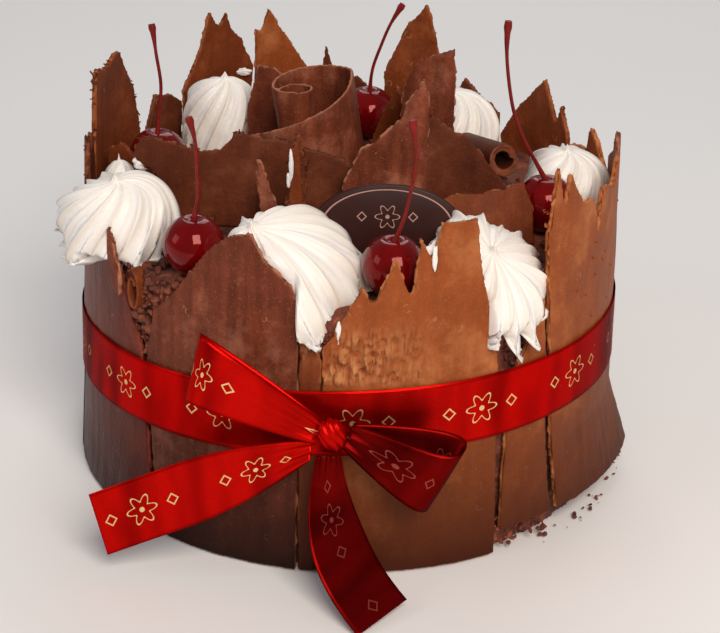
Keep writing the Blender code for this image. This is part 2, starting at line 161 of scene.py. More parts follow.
bpy.ops.object.select_all(action="DESELECT")
bpy.ops.mesh.primitive_plane_add(size=8.0, location=(0, 0, -0.0005))
floor = bpy.context.object
floor.name = "studio_floor"
floor_paint, floor_tree, floor_shader = new_material("pale matt board")
floor_shader.inputs["Base Color"].default_value = linear("#f8f7f5")
floor_shader.inputs["Roughness"].default_value = 0.8
floor.data.materials.append(floor_paint)
floor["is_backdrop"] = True


# Sponge. The uncut cake under its cladding: dark, moist chocolate sponge with a torn,
# porous skin, which shows between the panels and on top between the shards.

def pick(obj):
    """Makes obj the only selected and active object."""
    bpy.ops.object.select_all(action="DESELECT")
    obj.select_set(True)
    bpy.context.view_layer.objects.active = obj


def apply_modifier(obj, name, kind, **settings):
    """Adds a modifier to obj and applies it."""
    modifier = obj.modifiers.new(name, kind)
    for key, value in settings.items():
        setattr(modifier, key, value)
    pick(obj)
    bpy.ops.object.modifier_apply(modifier=modifier.name)


def merged_copy(node, piece_name):
    """A copy of a CAD node's mesh as one closed skin."""
    piece = bpy.data.objects.new(piece_name, frame["nodes"][node].data.copy())
    bpy.context.scene.collection.objects.link(piece)
    piece.data.materials.clear()
    pick(piece)
    bpy.ops.mesh.customdata_custom_splitnormals_clear()
    bpy.ops.object.mode_set(mode="EDIT")
    bpy.ops.mesh.select_all(action="SELECT")
    bpy.ops.mesh.remove_doubles(threshold=0.00001)
    bpy.ops.object.mode_set(mode="OBJECT")
    return piece


def points_of(obj):
    """Vertex places in millimetres, and vertex normals, as arrays."""
    places = np.empty(len(obj.data.vertices) * 3)
    obj.data.vertices.foreach_get("co", places)
    normals = np.array([normal.vector for normal in obj.data.vertex_normals])
    return places.reshape(-1, 3) / MM, normals


def move_points(obj, places):
    """Sets vertex places given in millimetres."""
    obj.data.vertices.foreach_set("co", (places * MM).ravel())
    obj.data.update()


def grain(places, size, seed=0.0):
    """Smooth noise from about -1 to 1, with features of the given size in millimetres."""
    sizes = np.broadcast_to(np.asarray(size, float), (3,))
    spots = places / sizes + seed * 17.31
    return np.array([noise.noise(spot) for spot in spots.tolist()])


def paint(obj, name, values):
    """Stores one number from 0 to 1 for each vertex, for the material to read."""
    layer = obj.data.attributes.new(name, "FLOAT", "POINT")
    layer.data.foreach_set("value", np.clip(values, 0, 1).astype(np.float32))


def finish_piece(obj, node, material, smooth=True):
    """Dresses a piece, makes it stand for its node and lets it ride on the cake."""
    obj.data.materials.append(material)
    pick(obj)
    if smooth:
        bpy.ops.object.shade_smooth()
    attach(obj, "root")
    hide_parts(node)


# Chocolate sponge, baked and torn: nearly black where moist, reddish where it crumbles
sponge_crumb, tree, shader = new_material("chocolate sponge crumb")
place = add_node(tree, "ShaderNodeTexCoord").outputs["Object"]
pores = add_node(tree, "ShaderNodeTexVoronoi", {"Scale": 380.0}, Vector=place)
blotch = add_node(tree, "ShaderNodeTexNoise", {"Scale": 90.0, "Detail": 4.0}, Vector=place)
ramp = add_node(tree, "ShaderNodeValToRGB", {}, Fac=blotch.outputs["Fac"])
ramp.color_ramp.elements[0].position = 0.32
ramp.color_ramp.elements[0].color = linear("#35130c")
ramp.color_ramp.elements[1].position = 0.72
ramp.color_ramp.elements[1].color = linear("#9e5238")
tree.links.new(ramp.outputs["Color"], shader.inputs["Base Color"])
bump = add_node(tree, "ShaderNodeBump", {"Strength": 0.8, "Distance": 0.0012}, Height=pores.outputs["Distance"])
tree.links.new(bump.outputs["Normal"], shader.inputs["Normal"])
shader.inputs["Roughness"].default_value = 0.85

sponge = merged_copy("cake_core", "sponge")
apply_modifier(sponge, "skin", "REMESH", mode="VOXEL", voxel_size=1.7 * MM)
places, normals = points_of(sponge)
torn = grain(places, 7.0, 1) * 0.9 + np.abs(grain(places, 3.2, 2)) * 1.2
torn[places[:, 2] < 1.0] = 0.0
move_points(sponge, places - normals * np.maximum(torn, -0.1)[:, None])
finish_piece(sponge, "cake_core", sponge_crumb)


# Chocolate panels. Sheets of couverture a couple of millimetres thick, spread, set and
# broken by hand, then pressed upright into the cream round the cake. Their faces keep the
# waves and scuffs of spreading, and their snapped edges show paler, rougher chocolate.

def chocolate(name, pale, body, dark, foot, gloss, streaks, shine):
    """Set couverture: blotched and streaked colour, scuffs, a satin sheen and raw edges."""
    material, tree, shader = new_material(name)
    place = add_node(tree, "ShaderNodeTexCoord").outputs["Object"]
    blotch = add_node(tree, "ShaderNodeTexNoise", {"Scale": 46.0, "Detail": 9.0, "Roughness": 0.68}, Vector=place)
    tone = add_node(tree, "ShaderNodeValToRGB", {}, Fac=blotch.outputs["Fac"])
    tone.color_ramp.elements[0].position = 0.24
    tone.color_ramp.elements[0].color = linear(dark)
    tone.color_ramp.elements[1].position = 0.80
    tone.color_ramp.elements[1].color = linear(pale)
    tone.color_ramp.elements.new(0.52).color = linear(body)
    stretch = add_node(tree, "ShaderNodeMapping", {"Scale": (260.0, 260.0, 45.0)}, Vector=place)
    streak = add_node(tree, "ShaderNodeTexNoise", {"Scale": 1.0, "Detail": 4.0}, Vector=stretch.outputs["Vector"])
    drawn = add_node(tree, "ShaderNodeMix", {"data_type": "RGBA", "blend_type": "OVERLAY", 0: streaks},
                     _6=tone.outputs["Color"], _7=streak.outputs["Fac"])

    # Pin-pricks a third of a millimetre wide, where bubbles broke as the sheet set
    bubble = add_node(tree, "ShaderNodeTexNoise", {"Scale": 1500.0, "Detail": 2.0}, Vector=place)
    prick = add_node(tree, "ShaderNodeMapRange", {1: 0.60, 2: 0.72, 3: 0.0, 4: 0.34}, Value=bubble.outputs["Fac"])
    streaked = add_node(tree, "ShaderNodeMix", {"data_type": "RGBA", 7: linear(pale)},
                        _0=prick.outputs["Result"], _6=drawn.outputs[2])

    # Scuffs where the sheets rubbed together: broken pale arcs about 3 mm across
    cell = add_node(tree, "ShaderNodeTexVoronoi", {"Scale": 105.0}, Vector=place)
    from_arc = add_node(tree, "ShaderNodeMath", {"operation": "SUBTRACT", 1: 0.15}, _0=cell.outputs["Distance"])
    off_arc = add_node(tree, "ShaderNodeMath", {"operation": "ABSOLUTE"}, _0=from_arc.outputs["Value"])
    arc = add_node(tree, "ShaderNodeMapRange", {1: 0.012, 2: 0.035, 3: 1.0, 4: 0.0}, Value=off_arc.outputs["Value"])
    broken = add_node(tree, "ShaderNodeTexNoise", {"Scale": 420.0, "Detail": 2.0}, Vector=place)
    kept = add_node(tree, "ShaderNodeMapRange", {1: 0.50, 2: 0.60}, Value=broken.outputs["Fac"])
    rare = add_node(tree, "ShaderNodeSeparateColor", {}, Color=cell.outputs["Color"])
    often = add_node(tree, "ShaderNodeMath", {"operation": "GREATER_THAN", 1: 0.62}, _0=rare.outputs["Red"])
    some = add_node(tree, "ShaderNodeMath", {"operation": "MULTIPLY"},
                    _0=arc.outputs["Result"], _1=often.outputs["Value"])
    scuff = add_node(tree, "ShaderNodeMath", {"operation": "MULTIPLY"},
                     _0=some.outputs["Value"], _1=kept.outputs["Result"])
    faint = add_node(tree, "ShaderNodeMath", {"operation": "MULTIPLY", 1: 0.32}, _0=scuff.outputs["Value"])
    scuffed = add_node(tree, "ShaderNodeMix", {"data_type": "RGBA", 7: linear("#c9966f")},
                       _0=faint.outputs["Value"], _6=streaked.outputs[2])

    # The foot is darker, partly where cream and damp sponge have soaked in and partly as painted shade low on the
    # panels
    axes = add_node(tree, "ShaderNodeSeparateXYZ", {}, Vector=place)
    damp_and_shade = add_node(tree, "ShaderNodeMapRange", {1: 0.0, 2: 0.07, 3: 1.0, 4: 0.0}, Value=axes.outputs["Z"])
    damp_shaded_foot = add_node(tree, "ShaderNodeMix", {"data_type": "RGBA", 7: linear(foot)},
                      _0=damp_and_shade.outputs["Result"], _6=scuffed.outputs[2])

    # Snapped edges show raw chocolate, paler. The raised ridges of peeled patches are paler too: partly the raw
    # chocolate of the peel and partly a painted highlight
    fresh = add_node(tree, "ShaderNodeAttribute", {"attribute_name": "fresh"})
    raw = add_node(tree, "ShaderNodeMix", {"data_type": "RGBA", 7: linear(pale)},
                   _0=fresh.outputs["Fac"], _6=damp_shaded_foot.outputs[2])
    raw_peel_and_highlight = add_node(tree, "ShaderNodeAttribute", {"attribute_name": "raw_peel_and_highlight"})
    with_peel_highlight = add_node(tree, "ShaderNodeMix", {"data_type": "RGBA", 7: linear("#cc8c5a")},
                      _0=raw_peel_and_highlight.outputs["Fac"], _6=raw.outputs[2])
    tree.links.new(with_peel_highlight.outputs[2], shader.inputs["Base Color"])
    matt = add_node(tree, "ShaderNodeMapRange", {1: 0.3, 2: 0.7, 3: gloss, 4: gloss + 0.16},
                    Value=blotch.outputs["Fac"])
    tree.links.new(matt.outputs["Result"], shader.inputs["Roughness"])
    fine = add_node(tree, "ShaderNodeTexNoise", {"Scale": 700.0, "Detail": 3.0}, Vector=place)
    height = add_node(tree, "ShaderNodeMix", {"data_type": "FLOAT", 0: 0.45},
                      _2=fine.outputs["Fac"], _3=streak.outputs["Fac"])
    bump = add_node(tree, "ShaderNodeBump", {"Strength": 0.5, "Distance": 0.0009}, Height=height.outputs["Result"])
    tree.links.new(bump.outputs["Normal"], shader.inputs["Normal"])
    shader.inputs["IOR"].default_value = 1.47
    shader.inputs["Specular IOR Level"].default_value = shine
    return material


def snap(plate, outward, seed, relief, ragged, raw_peel_and_highlight=0.0):
    """Gives a remeshed plate its uneven faces and its ragged, raw edges."""
    places, normals = points_of(plate)
    facing = np.abs((normals * outward).sum(1))
    edge = np.clip((0.92 - facing) / 0.35, 0, 1)
    wave = grain(places, 24.0, seed) * 0.35 + grain(places, (5.0, 5.0, 11.0), seed + 1) * 0.16
    wave = wave * relief
    nick = np.where(places[:, 2] > 92, 1.1, 0.35)
    tear = grain(places, (3.8, 3.8, 9.0), seed + 2) * 1.15 + grain(places, (1.6, 1.6, 2.2), seed + 3) * nick
    bite = ragged * (0.6 - 1.2 * tear) * edge
    moved = places + outward * wave[:, None] - normals * np.maximum(bite, -0.2)[:, None]
    moved[:, 2] = np.where(places[:, 2] < 2.0, places[:, 2], moved[:, 2])
    move_points(plate, moved)
    paint(plate, "fresh", edge * (0.6 + 0.6 * tear))
    # Paler raised ridges of a peel: partly raw chocolate, partly painted highlight
    paint(plate, "raw_peel_and_highlight", np.zeros(len(moved)) + raw_peel_and_highlight)


# The fourth colour of each kind is its foot, darkened partly by damp and partly as painted shade
COUVERTURE = {
    "plum": chocolate("couverture, plum brown", "#8a4434", "#68291a", "#501f13", "#310a04", 0.30, 0.15, 0.12),
    "dark": chocolate("couverture, dark brown", "#b0745a", "#743824", "#502314", "#1f0904", 0.40, 0.75, 0.12),
    "milk": chocolate("couverture, milk", "#c27a4a", "#964c24", "#7d3c1a", "#3f1707", 0.42, 0.22, 0.13),
    "amber": chocolate("couverture, amber brown", "#a25c35", "#78381b", "#5b2812", "#351207", 0.45, 0.3, 0.12),
    "shade": chocolate("couverture, deep brown", "#8a4d34", "#602e1b", "#472012", "#260c06", 0.40, 0.3, 0.12),
}
PANELS = {
    "panel_front": "milk", "panel_front_sliver": "amber", "panel_front_left": "dark", "panel_left": "plum",
    "panel_left_rear": "shade", "panel_rear_left_tall": "amber", "panel_rear_left": "shade",
    "panel_rear_peak": "amber", "panel_rear_blade": "milk", "panel_rear": "shade",
    "panel_rear_spike": "amber", "panel_rear_low": "shade", "panel_rear_right": "amber",
    "panel_right_rear": "milk", "panel_right_sliver": "dark", "panel_right": "milk",
    "panel_front_right": "milk",
}
for number, (node, kind) in enumerate(PANELS.items()):
    panel = merged_copy(node, f"{node}_chocolate")
    apply_modifier(panel, "even", "REMESH", mode="VOXEL", voxel_size=0.65 * MM)
    apply_modifier(panel, "settle", "SMOOTH", factor=0.5, iterations=2)
    places, normals = points_of(panel)
    outward = places * (1, 1, 0)
    outward = outward / np.linalg.norm(outward, axis=1)[:, None]
    raw_peel_and_highlight = 0.0
    if node in ("panel_front", "panel_front_sliver"):
        # The spatula lifted this sheet as it set, and left it peeled above the ribbon
        azimuth = np.degrees(np.arctan2(places[:, 1], places[:, 0]))
        patch = np.exp(-((azimuth + 89) / 12) ** 4 - ((places[:, 2] - 81) / 14) ** 4)
        patch *= np.clip(0.9 + 1.6 * grain(places, (9, 9, 14), 90), 0, 1) * np.clip((places[:, 2] - 74.5) / 3, 0, 1)
        peel = np.abs(grain(places, (1.9, 1.9, 8.5), 91)) + 0.6 * np.abs(grain(places, (1.2, 1.2, 3.5), 92))
        front = np.clip((normals * outward).sum(1) * 4 - 2, 0, 1)
        move_points(panel, places - outward * (patch * front * (2.2 - 6.0 * peel))[:, None])
        # Its raised ridges are painted paler: partly raw chocolate, partly a painted highlight
        raw_peel_and_highlight = patch * front * np.clip(2.0 * peel - 0.35, 0, 0.75)
        places = points_of(panel)[0]
    if node == "panel_front_sliver":
        # It is jammed in between its neighbours, so it fills what is left between them
        turned = (np.arctan2(places[:, 1], places[:, 0]) + math.radians(98.25)) * 0.42
        reach = np.hypot(places[:, 0], places[:, 1])
        azimuth = np.arctan2(places[:, 1], places[:, 0]) + turned
        places[:, :2] = reach[:, None] * np.stack((np.cos(azimuth), np.sin(azimuth)), 1)
        move_points(panel, places)
    snap(panel, outward, seed=10 + 7 * number, relief=1.0, ragged=1.15, raw_peel_and_highlight=raw_peel_and_highlight)
    finish_piece(panel, node, COUVERTURE[kind])


# Shards. More broken couverture, stood and leaned in the middle of the top, some of it bent
# while it was still soft. Each one keeps its solid's outline, with the same raw edges.

SHARDS = {
    "shard_long": "shade", "shard_blade": "dark", "shard_triangle": "shade", "shard_curved": "dark",
    "shard_plank": "amber", "shard_dark_middle": "shade", "shard_splinter_left": "dark",
    "shard_splinter_right": "amber", "shard_chip": "amber", "shard_left": "amber",
    "shard_rear_left": "dark", "shard_rear_right": "amber", "splinter_outside": "dark",
}
for number, (node, kind) in enumerate(SHARDS.items()):
    shard = merged_copy(node, f"{node}_chocolate")
    apply_modifier(shard, "even", "REMESH", mode="VOXEL", voxel_size=0.65 * MM)
    apply_modifier(shard, "settle", "SMOOTH", factor=0.5, iterations=3)
    places, normals = points_of(shard)
    flatness, directions = np.linalg.eigh(np.cov(places.T))
    snap(shard, directions[:, 0], seed=200 + 7 * number, relief=0.9, ragged=1.4)
    finish_piece(shard, node, COUVERTURE[kind])


# Curls. Thin chocolate scraped up into rolls: a wide slanting one that stands in the middle
# like a cone, and a small tight one lying at the right. The mouth edges are thin and pale.

SHEET = 1.2
CURLS = {
    "curl_cone": dict(kind="dark", slot="milk_chocolate", foot=(-15, 9, 100.3), axis=(-0.16, 0, 1),
                      half_turns=(5.8, 6.8, 15, 22), mouth=(44, 45, 46, 52, 25)),
    "curl_small": dict(kind="shade", slot="dark_chocolate", foot=(47, 27, 115.5), axis=(0.28, -0.93, 0.22),
                       half_turns=(4.2, 5.1, 6.0, 6.9), mouth=(40, 40, 40, 42, 38)),
}


def roll_curl(node, kind, slot, foot, axis, half_turns, mouth):
    """Rolls a sheet up in half turns from its inner end outwards, under a slanting mouth."""
    steps, rows = 20, 22
    axis = Vector(axis)
    upright = abs(axis.z) > 0.9
    across = Vector((1, 0, 0)) if upright else axis.cross(Vector((0, 0, 1))).normalized()
    deep = Vector((0, 1, 0)) if upright else across.cross(axis).normalized()
    bpy.ops.object.select_all(action="DESELECT")
    bpy.ops.mesh.primitive_grid_add(x_subdivisions=steps * len(half_turns), y_subdivisions=rows, size=2.0)
    curl = bpy.context.object
    curl.name = f"{node}_chocolate"
    middle = 2 * sum(r * (-1) ** i for i, r in enumerate(half_turns[:-1])) \
        + half_turns[-1] * (-1) ** (len(half_turns) - 1)
    for vert in curl.data.vertices:
        column = round((vert.co.x + 1) / 2 * steps * len(half_turns))
        row = (vert.co.y + 1) / 2
        turn = min(column // steps, len(half_turns) - 1)
        share = column / steps - turn
        radius = half_turns[turn]
        centre = 2 * sum(r * (-1) ** i for i, r in enumerate(half_turns[:turn])) + radius * (-1) ** turn
        angle = math.pi * (turn + 1 - share)
        length = mouth[turn] + (mouth[turn + 1] - mouth[turn]) * share
        place = (Vector(foot) + across * (centre - middle + radius * math.cos(angle))
                 + deep * radius * math.sin(angle) + axis * length * row)
        vert.co = place * MM
    apply_modifier(curl, "sheet", "SOLIDIFY", thickness=SHEET * MM, offset=-1.0, use_even_offset=True)
    apply_modifier(curl, "even", "REMESH", mode="VOXEL", voxel_size=0.55 * MM)
    apply_modifier(curl, "settle", "SMOOTH", factor=0.5, iterations=3)
    places, normals = points_of(curl)
    edge = np.clip((np.abs(normals @ np.array(axis.normalized())) - 0.45) / 0.35, 0, 1)
    wave = grain(places, 16.0, len(node)) * 0.12
    tear = grain(places, 2.4, len(node) + 1)
    move_points(curl, places + normals * (wave - edge * (0.25 - 0.45 * tear))[:, None])
    paint(curl, "fresh", edge * 0.8)
    finish_piece(curl, node, COUVERTURE[kind])


for node, sizes in CURLS.items():
    roll_curl(node, **sizes)


# Plaque. An oval of dark chocolate cast in a mould, leaning against the shards, with a
# fine ornament printed on its face in pale cocoa butter.

def flower_print(tree, x, y, size):
    """Where an ornament is printed: a flower of the given size in mm, and its two diamonds."""
    spoke = add_node(tree, "ShaderNodeMath", {"operation": "ARCTAN2"}, _0=y, _1=x)
    six = add_node(tree, "ShaderNodeMath", {"operation": "MULTIPLY", 1: 6.0}, _0=spoke.outputs["Value"])
    petal = add_node(tree, "ShaderNodeMath", {"operation": "COSINE"}, _0=six.outputs["Value"])
    outline = add_node(tree, "ShaderNodeMath", {"operation": "MULTIPLY_ADD", 1: size * 0.25, 2: size * 0.8},
                       _0=petal.outputs["Value"])
    spot = add_node(tree, "ShaderNodeCombineXYZ", {}, X=x, Y=y)
    far = add_node(tree, "ShaderNodeVectorMath", {"operation": "LENGTH"}, _0=spot.outputs["Vector"])
    off = add_node(tree, "ShaderNodeMath", {"operation": "SUBTRACT"}, _0=far.outputs["Value"],
                   _1=outline.outputs["Value"])
    line = add_node(tree, "ShaderNodeMath", {"operation": "ABSOLUTE"}, _0=off.outputs["Value"])
    flower = add_node(tree, "ShaderNodeMath", {"operation": "LESS_THAN", 1: size * 0.055}, _0=line.outputs["Value"])
    heart = add_node(tree, "ShaderNodeMath", {"operation": "LESS_THAN", 1: size * 0.18}, _0=far.outputs["Value"])
    side_x = add_node(tree, "ShaderNodeMath", {"operation": "ABSOLUTE"}, _0=x)
    side_at = add_node(tree, "ShaderNodeMath", {"operation": "SUBTRACT", 1: size * 2.2}, _0=side_x.outputs["Value"])
    side_u = add_node(tree, "ShaderNodeMath", {"operation": "ABSOLUTE"}, _0=side_at.outputs["Value"])
    side_v = add_node(tree, "ShaderNodeMath", {"operation": "ABSOLUTE"}, _0=y)
    around = add_node(tree, "ShaderNodeMath", {"operation": "ADD"}, _0=side_u.outputs["Value"],
                      _1=side_v.outputs["Value"])
    ring_off = add_node(tree, "ShaderNodeMath", {"operation": "SUBTRACT", 1: size * 0.38},
                        _0=around.outputs["Value"])
    ring = add_node(tree, "ShaderNodeMath", {"operation": "ABSOLUTE"}, _0=ring_off.outputs["Value"])
    diamond = add_node(tree, "ShaderNodeMath", {"operation": "LESS_THAN", 1: size * 0.065},
                       _0=ring.outputs["Value"])
    middle = add_node(tree, "ShaderNodeMath", {"operation": "MAXIMUM"}, _0=flower.outputs["Value"],
                      _1=heart.outputs["Value"])
    return add_node(tree, "ShaderNodeMath", {"operation": "MAXIMUM"}, _0=middle.outputs["Value"],
                    _1=diamond.outputs["Value"]).outputs["Value"]


plaque_chocolate, tree, shader = new_material("couverture cast in a mould")
place = add_node(tree, "ShaderNodeTexCoord").outputs["Object"]
cloud = add_node(tree, "ShaderNodeTexNoise", {"Scale": 60.0, "Detail": 3.0}, Vector=place)
shade = add_node(tree, "ShaderNodeMix", {"data_type": "RGBA", 6: linear("#2a0f0c"), 7: linear("#3b1812")},
                 _0=cloud.outputs["Fac"])
dent = add_node(tree, "ShaderNodeBump", {"Strength": 0.15, "Distance": 0.001}, Height=cloud.outputs["Fac"])
tree.links.new(dent.outputs["Normal"], shader.inputs["Normal"])
shader.inputs["Roughness"].default_value = 0.36
shader.inputs["Specular IOR Level"].default_value = 0.2

PLAQUE_SIZE = (54.0, 30.5, 2.4)
flat = add_node(tree, "ShaderNodeUVMap", {"uv_map": "plaque"})
axes = add_node(tree, "ShaderNodeSeparateXYZ", {}, Vector=flat.outputs["UV"])
high = add_node(tree, "ShaderNodeMath", {"operation": "SUBTRACT", 1: 3.5}, _0=axes.outputs["Y"])
motif = flower_print(tree, axes.outputs["X"], high.outputs["Value"], 4.2)
squash = add_node(tree, "ShaderNodeVectorMath", {"operation": "DIVIDE",
                                                 1: (PLAQUE_SIZE[0] / 2, PLAQUE_SIZE[1] / 2, 1.0)},
                  _0=flat.outputs["UV"])
oval = add_node(tree, "ShaderNodeVectorMath", {"operation": "LENGTH"}, _0=squash.outputs["Vector"])
inset = add_node(tree, "ShaderNodeMath", {"operation": "SUBTRACT", 1: 0.87}, _0=oval.outputs["Value"])
thin = add_node(tree, "ShaderNodeMath", {"operation": "ABSOLUTE"}, _0=inset.outputs["Value"])
frame_line = add_node(tree, "ShaderNodeMath", {"operation": "LESS_THAN", 1: 0.012}, _0=thin.outputs["Value"])
butter = add_node(tree, "ShaderNodeMath", {"operation": "MAXIMUM"}, _0=motif, _1=frame_line.outputs["Value"])
print_on = add_node(tree, "ShaderNodeMix", {"data_type": "RGBA", 7: linear("#b58c80")},
                    _0=butter.outputs["Value"], _6=shade.outputs[2])
tree.links.new(print_on.outputs[2], shader.inputs["Base Color"])

PLAQUE_FOOT = Vector((12.0, -60.0, 100.3))
PLAQUE_LEAN = 14.0
plaque_turn = Matrix.Translation(PLAQUE_FOOT * MM) @ Matrix.Rotation(math.radians(90 - PLAQUE_LEAN), 4, "X")
bpy.ops.object.select_all(action="DESELECT")
bpy.ops.mesh.primitive_cylinder_add(vertices=128, radius=0.5, depth=PLAQUE_SIZE[2] * MM)
plaque = bpy.context.object
plaque.name = "plaque_oval"
plaque.data.transform(Matrix.Diagonal((PLAQUE_SIZE[0] * MM, PLAQUE_SIZE[1] * MM, 1.0, 1.0)))
plaque.data.uv_layers[0].name = "plaque"
for loop in plaque.data.loops:
    spot = plaque.data.vertices[loop.vertex_index].co / MM
    plaque.data.uv_layers[0].data[loop.index].uv = spot.xy
plaque.data.transform(Matrix.Translation((0, PLAQUE_SIZE[1] / 2 * MM, 0)))
plaque.data.transform(plaque_turn)
apply_modifier(plaque, "moulded_edge", "BEVEL", width=0.6 * MM, segments=3)
finish_piece(plaque, "plaque", plaque_chocolate)


# Cream. Whipped cream piped through an open star nozzle on to the rim. Each rosette turns as
# it swells from its tip, in soft ridges with sharp valleys and torn points at their ends, and
# the ones in front lean out and slide over the edge between the panels.

cream_soft, tree, shader = new_material("whipped cream")
place = add_node(tree, "ShaderNodeTexCoord").outputs["Object"]
# Painted shade: the valleys between the ridges are tinted a warmer, darker cream
valley_shade = add_node(tree, "ShaderNodeAttribute", {"attribute_name": "valley_shade"})
tint = add_node(tree, "ShaderNodeMix", {"data_type": "RGBA", 6: linear("#fbf5ef"), 7: linear("#f4e2c8")},
                _0=valley_shade.outputs["Fac"])
tree.links.new(tint.outputs[2], shader.inputs["Base Color"])
froth = add_node(tree, "ShaderNodeTexNoise", {"Scale": 900.0, "Detail": 3.0}, Vector=place)
dent = add_node(tree, "ShaderNodeBump", {"Strength": 0.12, "Distance": 0.0006}, Height=froth.outputs["Fac"])
tree.links.new(dent.outputs["Normal"], shader.inputs["Normal"])
shader.inputs["Roughness"].default_value = 0.42
shader.inputs["Subsurface Weight"].default_value = 0.35
shader.inputs["Subsurface Radius"].default_value = (1.0, 0.75, 0.55)
shader.inputs["Subsurface Scale"].default_value = 0.0022

TOP = 100.3
RIM = 100.6
# Azimuth and distance of the centre, width, height, ridges, how far they turn from tip to edge
# in radians, how deep their torn ends are cut, how far the rosette leans out, is stretched down
# its lean and draws in below its right side, where its tip stands from the centre, and between
# which azimuths a panel holds it in, up to the height of that panel at either side
ROSETTES = {
    "swirl_left": dict(at=(-157.0, 94), width=47, height=27, ridges=14, twist=1.35, teeth=0.24, lean=10,
                       stretch=1.0, drawn=0.0, tip=(5, -9), seed=1,
                       held=((-152, -128, 102, 102), (-200, -166, 84, 84))),
    "swirl_front_left": dict(at=(-103.6, 80), width=49, height=27, ridges=15, twist=0.12, teeth=0.34, lean=20,
                             stretch=1.10, drawn=-0.5, tip=(-15, 2), seed=2,
                             held=((-140, -100.5, 140, 140), (-96.6, -90.4, 85, 106), (-90.4, -60, 140, 140))),
    "swirl_front_right": dict(at=(-56, 86.5), width=48, height=18, ridges=16, twist=0.2, teeth=0.36, lean=34,
                              stretch=1.06, drawn=0.62, tip=(-6, 1), seed=3,
                              held=((-100, -62.5, 140, 140), (-41, -20, 140, 140))),
    "swirl_right": dict(at=(3, 85), width=40, height=25, ridges=14, twist=0.9, teeth=0.32, lean=4,
                        stretch=1.0, drawn=0.0, tip=(-4, -8), seed=4, held=((-40, 60, 140, 140),)),
    "swirl_rear_right": dict(at=(60, 77), width=46, height=27, ridges=14, twist=0.9, teeth=0.25, lean=0,
                             stretch=1.0, drawn=0.0, tip=(3, -6), seed=5, held=((0, 120, 140, 140),)),
    "swirl_rear_left": dict(at=(131, 82), width=37, height=32, ridges=11, twist=1.1, teeth=0.2, lean=0,
                            stretch=1.0, drawn=0.0, tip=(2, -4), seed=6, held=((80, 180, 140, 140),)),
    "swirl_far_left": dict(at=(180, 90), width=15, height=17, ridges=7, twist=1.0, teeth=0.2, lean=0,
                           stretch=1.0, drawn=0.0, tip=(0, 0), seed=7, held=((90, 270, 140, 140),)),
}


def pipe_rosette(node, at, width, height, ridges, twist, teeth, lean, stretch, drawn, tip, held, seed):
    """Pipes one rosette: a twisted dome, its ridges along the normals, then a skirt below it."""
    bpy.ops.object.select_all(action="DESELECT")
    bpy.ops.mesh.primitive_uv_sphere_add(segments=ridges * 16, ring_count=72, radius=1.0)
    cream = bpy.context.object
    cream.name = f"{node}_cream"
    ball = points_of(cream)[0] * MM
    turn = np.arctan2(ball[:, 1], ball[:, 0])
    depth = np.arccos(np.clip(ball[:, 2], -1, 1)) / math.pi
    fall = np.clip(depth / 0.84, 0, 1)
    skirt = np.clip((depth - 0.84) / 0.08, 0, 1)
    closing = np.clip((depth - 0.92) / 0.08, 0, 1)
    phase = ridges * turn + 0.9 * np.sin(2 * turn + seed) + 0.7 * np.sin(3 * turn + 2.3 * seed)
    crest = np.abs(np.sin(phase / 2)) ** 0.7
    point = 1 - np.abs(np.mod(phase / math.pi + 1, 2) - 1)
    size = 1 + 0.10 * np.sin(2 * turn + 1.7 * seed) + 0.06 * np.sin(5 * turn + seed)
    spread = width / 2 * np.sin(math.pi / 2 * fall) ** 1.05 * size
    spread *= 1 + teeth * (0.5 - point) * fall ** 5 * (1 + 0.5 * np.sin(2.6 * turn + seed))
    swung = turn - twist * (1 - fall)
    side, out = spread * np.cos(swung), spread * np.sin(swung)
    out = np.where(out > 0, out * stretch, out)
    out *= 1 - drawn * np.clip(side / width * 2 - 0.1, 0, 1) * (out > 0)
    rise = height * (1 - fall ** 2.1) + 3.2 * np.clip(1 - fall / 0.07, 0, 1) ** 1.4
    azimuth, slope = math.radians(at[0]), math.radians(lean)
    outward = np.array((math.cos(azimuth), math.sin(azimuth), 0.0))
    along = np.array((-outward[1], outward[0], 0.0))
    up = np.array((0.0, 0.0, 1.0))
    down_out = outward * math.cos(slope) - up * math.sin(slope)
    away = up * math.cos(slope) + outward * math.sin(slope)
    centre = at[1] * outward + TOP * up
    places = centre + side[:, None] * along + out[:, None] * down_out + rise[:, None] * away
    places += np.outer(1 - fall, (*tip, 0.0))
    move_points(cream, places)
    normals = points_of(cream)[1]
    depth_of_ridge = 0.078 * width * fall ** 0.55 * (1 - skirt) * size
    torn = np.abs(grain(places, 1.5, seed)) * 0.55 * crest * fall
    soft = grain(places, 8.0, seed + 5) * 0.7 * fall
    places = places + normals * (depth_of_ridge * (crest - 0.6 + 0.16 * np.abs(np.sin(1.5 * phase))) + soft - torn)[:, None]
    below = np.minimum(places[:, 2], TOP)
    places[:, 2] += (below - places[:, 2]) * skirt
    places += (centre - places) * (closing * 0.999)[:, None]
    reach = np.hypot(places[:, 0], places[:, 1])
    where = np.degrees(np.arctan2(places[:, 1], places[:, 0]))
    for start, end, top_start, top_end in held:
        share = (where - start) % 360 / (end - start)
        inside = np.clip(np.minimum(share, 1 - share) * (end - start) / 1.2, 0, 1) * (share < 1)
        below = np.clip((top_start + (top_end - top_start) * share - places[:, 2]) / 2, 0, 1)
        press = 1 - inside * below * (1 - RIM / np.maximum(reach, RIM))
        places[:, :2] *= press[:, None]
    move_points(cream, places)
    # Painted shade in the valleys, growing from the tip outwards
    paint(cream, "valley_shade", (1 - crest) * fall * 0.55)
    finish_piece(cream, node, cream_soft)


for node, sizes in ROSETTES.items():
    pipe_rosette(node, **sizes)


# Cherries. Cocktail cherries in syrup, dark red and wet, a little uneven, with the stem left
# in its dimple. The stems are thin and bent, and end in the knob that held them to the tree.

